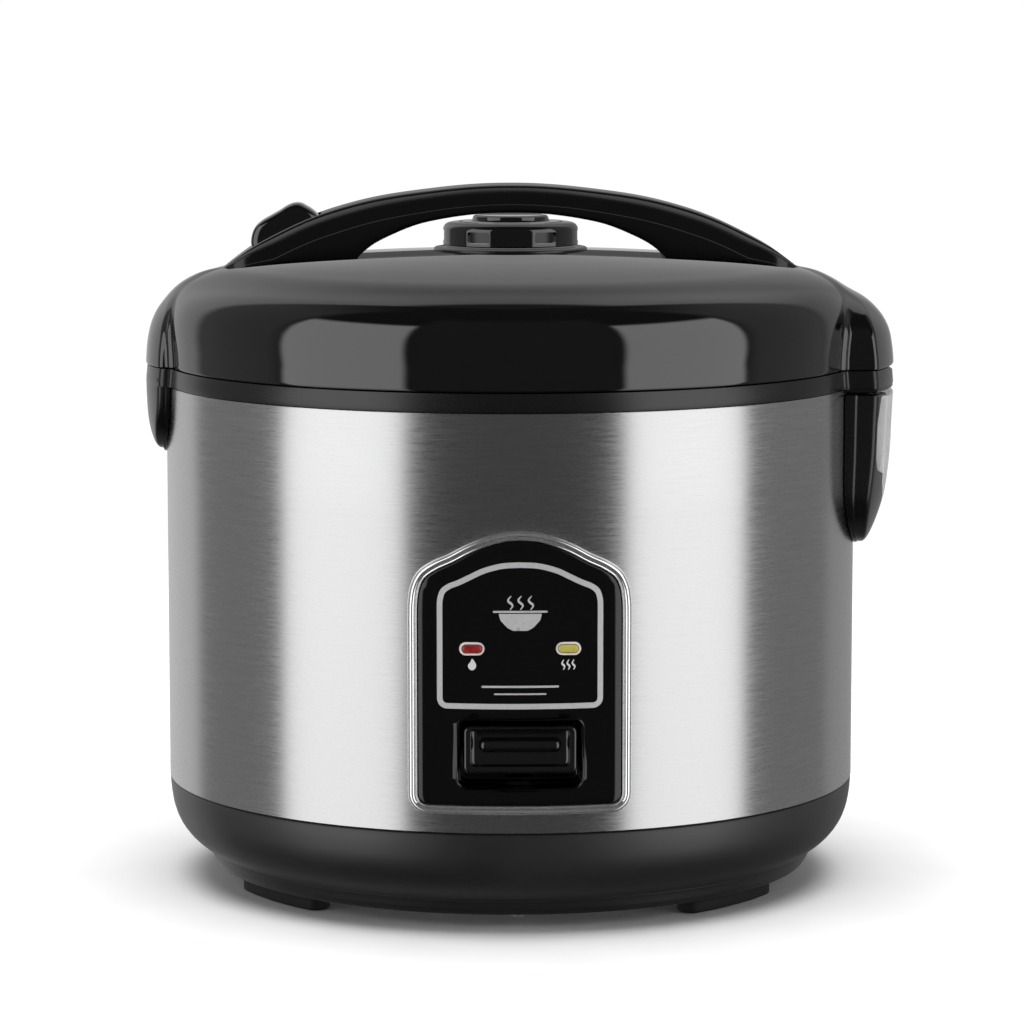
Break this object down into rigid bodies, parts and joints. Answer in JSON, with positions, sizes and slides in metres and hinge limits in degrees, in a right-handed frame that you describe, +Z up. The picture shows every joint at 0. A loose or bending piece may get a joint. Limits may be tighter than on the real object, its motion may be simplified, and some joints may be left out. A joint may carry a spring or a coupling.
{
  "type": "rice cooker",
  "caption": "Electric rice cooker with a brushed steel body, hinged domed lid with arched handle, steam vent, latch button, press-down cook lever, inner pot and clip-on water collector.",
  "frame": {"origin": "middle of the overall box, on the surface that the four feet stand on", "axes": "+X towards the lid's hinge, -Y towards the control panel, +Z up; the body's own axis stands 3.5 mm towards -X of the origin"},
  "size_m": [0.2827, 0.267, 0.2614],
  "materials": {
    "brushed_steel_body": "horizontally brushed stainless steel, satin",
    "black_gloss": "high gloss black moulded plastic",
    "black_satin": "satin black moulded plastic",
    "charcoal_base": "fine matt dark charcoal moulded plastic",
    "chrome_trim": "polished chrome plate",
    "foot_rubber": "matt black rubber",
    "zinc_steel": "zinc plated steel",
    "aluminium_sheet": "satin aluminium",
    "pot_coating": "dark grey non-stick coating on aluminium",
    "lens_red": "translucent red plastic",
    "lens_yellow": "translucent yellow plastic",
    "clear_plastic": "clear moulded plastic",
    "silicone": "translucent grey silicone rubber",
    "heater_wrap": "woven insulating wrap",
    "ferrite": "sintered ferrite",
    "ceramic_white": "unglazed ceramic",
    "board_green": "printed circuit board",
    "lamp_glass": "clear neon lamp envelope"
  },
  "bodies": {
    "root": {"base_bowl": "charcoal_base", "base_screw_1": "zinc_steel", "base_screw_2": "zinc_steel", "base_screw_3": "zinc_steel", "base_screw_4": "zinc_steel", "bottom_plate": "zinc_steel", "collector_housing": "black_satin", "cook_lamp": "lamp_glass", "cook_lens": "lens_red", "foot_1": "foot_rubber", "foot_2": "foot_rubber", "foot_3": "foot_rubber", "foot_4": "foot_rubber", "heating_plate": "aluminium_sheet", "hinge_pin": "zinc_steel", "hinge_spring": "zinc_steel", "indicator_board": "board_green", "inlet_pin_earth": "chrome_trim", "inlet_pin_live": "chrome_trim", "inlet_pin_neutral": "chrome_trim", "inner_liner": "aluminium_sheet", "inner_pot": "pot_coating", "latch_keeper": "zinc_steel", "lever_bracket": "zinc_steel", "lever_pivot_pin": "zinc_steel", "microswitch": "charcoal_base", "outer_shell": "brushed_steel_body", "panel_bezel": "chrome_trim", "panel_fascia": "black_gloss", "power_inlet": "black_satin", "rim_ring": "black_satin", "terminal_block": "ceramic_white", "thermal_fuse": "ceramic_white", "thermostat_housing": "zinc_steel", "thermostat_spring": "zinc_steel", "warm_heater_band": "heater_wrap", "warm_lamp": "lamp_glass", "warm_lens": "lens_yellow"},
    "lid": {"lid_cover": "black_gloss", "lid_inner_frame": "charcoal_base", "inner_lid_plate": "aluminium_sheet", "lid_gasket": "silicone", "lid_screw_1": "zinc_steel", "lid_screw_2": "zinc_steel", "handle": "black_satin", "handle_screw_1": "zinc_steel", "handle_screw_2": "zinc_steel", "vent_base": "black_satin", "button_spring": "zinc_steel", "latch_pin": "zinc_steel"},
    "button": {"release_button": "black_satin"},
    "latch": {"latch_hook": "charcoal_base"},
    "vent_cap": {"steam_vent_cap": "black_satin"},
    "lever": {"cook_lever_arm": "zinc_steel", "cook_paddle": "black_gloss"},
    "magnet": {"thermostat_magnet": "ferrite"},
    "sensor_cap": {"thermostat_cap": "aluminium_sheet", "thermostat_ferrite": "ferrite"},
    "collector": {"water_collector": "clear_plastic"}
  },
  "joints": [
    {"name": "lid_hinge", "type": "hinge", "parent": "root", "child": "lid", "pos_m": [0.1357, 0, 0.1885], "axis": [0, 1, 0], "range_deg": [0, 85]},
    {"name": "release_button_press", "type": "slide", "parent": "lid", "child": "button", "axis": [0, 0, -1], "range_m": [0, 0.003], "stiffness_N_per_m": 300, "springref_m": -0.002, "deforming": ["button_spring"]},
    {"name": "latch_hook_turn", "type": "hinge", "parent": "lid", "child": "latch", "pos_m": [-0.122, 0, 0.208], "axis": [0, 1, 0], "range_deg": [0, 5.1]},
    {"name": "steam_vent_twist", "type": "hinge", "parent": "lid", "child": "vent_cap", "pos_m": [-0.0035, 0, 0.244], "axis": [0, 0, 1], "range_deg": [0, 30]},
    {"name": "cook_lever_press", "type": "hinge", "parent": "root", "child": "lever", "pos_m": [-0.0035, -0.062, 0.058], "axis": [1, 0, 0], "range_deg": [0, 3.4], "stiffness_Nm_per_rad": 0.05, "springref_deg": -17.19},
    {"name": "thermostat_magnet_lift", "type": "slide", "parent": "root", "child": "magnet", "axis": [0, 0, 1], "range_m": [0, 0.0038]},
    {"name": "sensor_cap_press", "type": "slide", "parent": "root", "child": "sensor_cap", "axis": [0, 0, -1], "range_m": [0, 0.003], "stiffness_N_per_m": 400, "springref_m": -0.003, "deforming": ["thermostat_spring"]},
    {"name": "water_collector_pull", "type": "slide", "parent": "root", "child": "collector", "axis": [1, 0, 0], "range_m": [0, 0.02]}
  ],
  "couplings": [
    {"joint": "latch_hook_turn", "follows": "release_button_press", "rad_per_m": 29.09},
    {"joint": "thermostat_magnet_lift", "follows": "cook_lever_press", "m_per_rad": 0.0636}
  ]
}
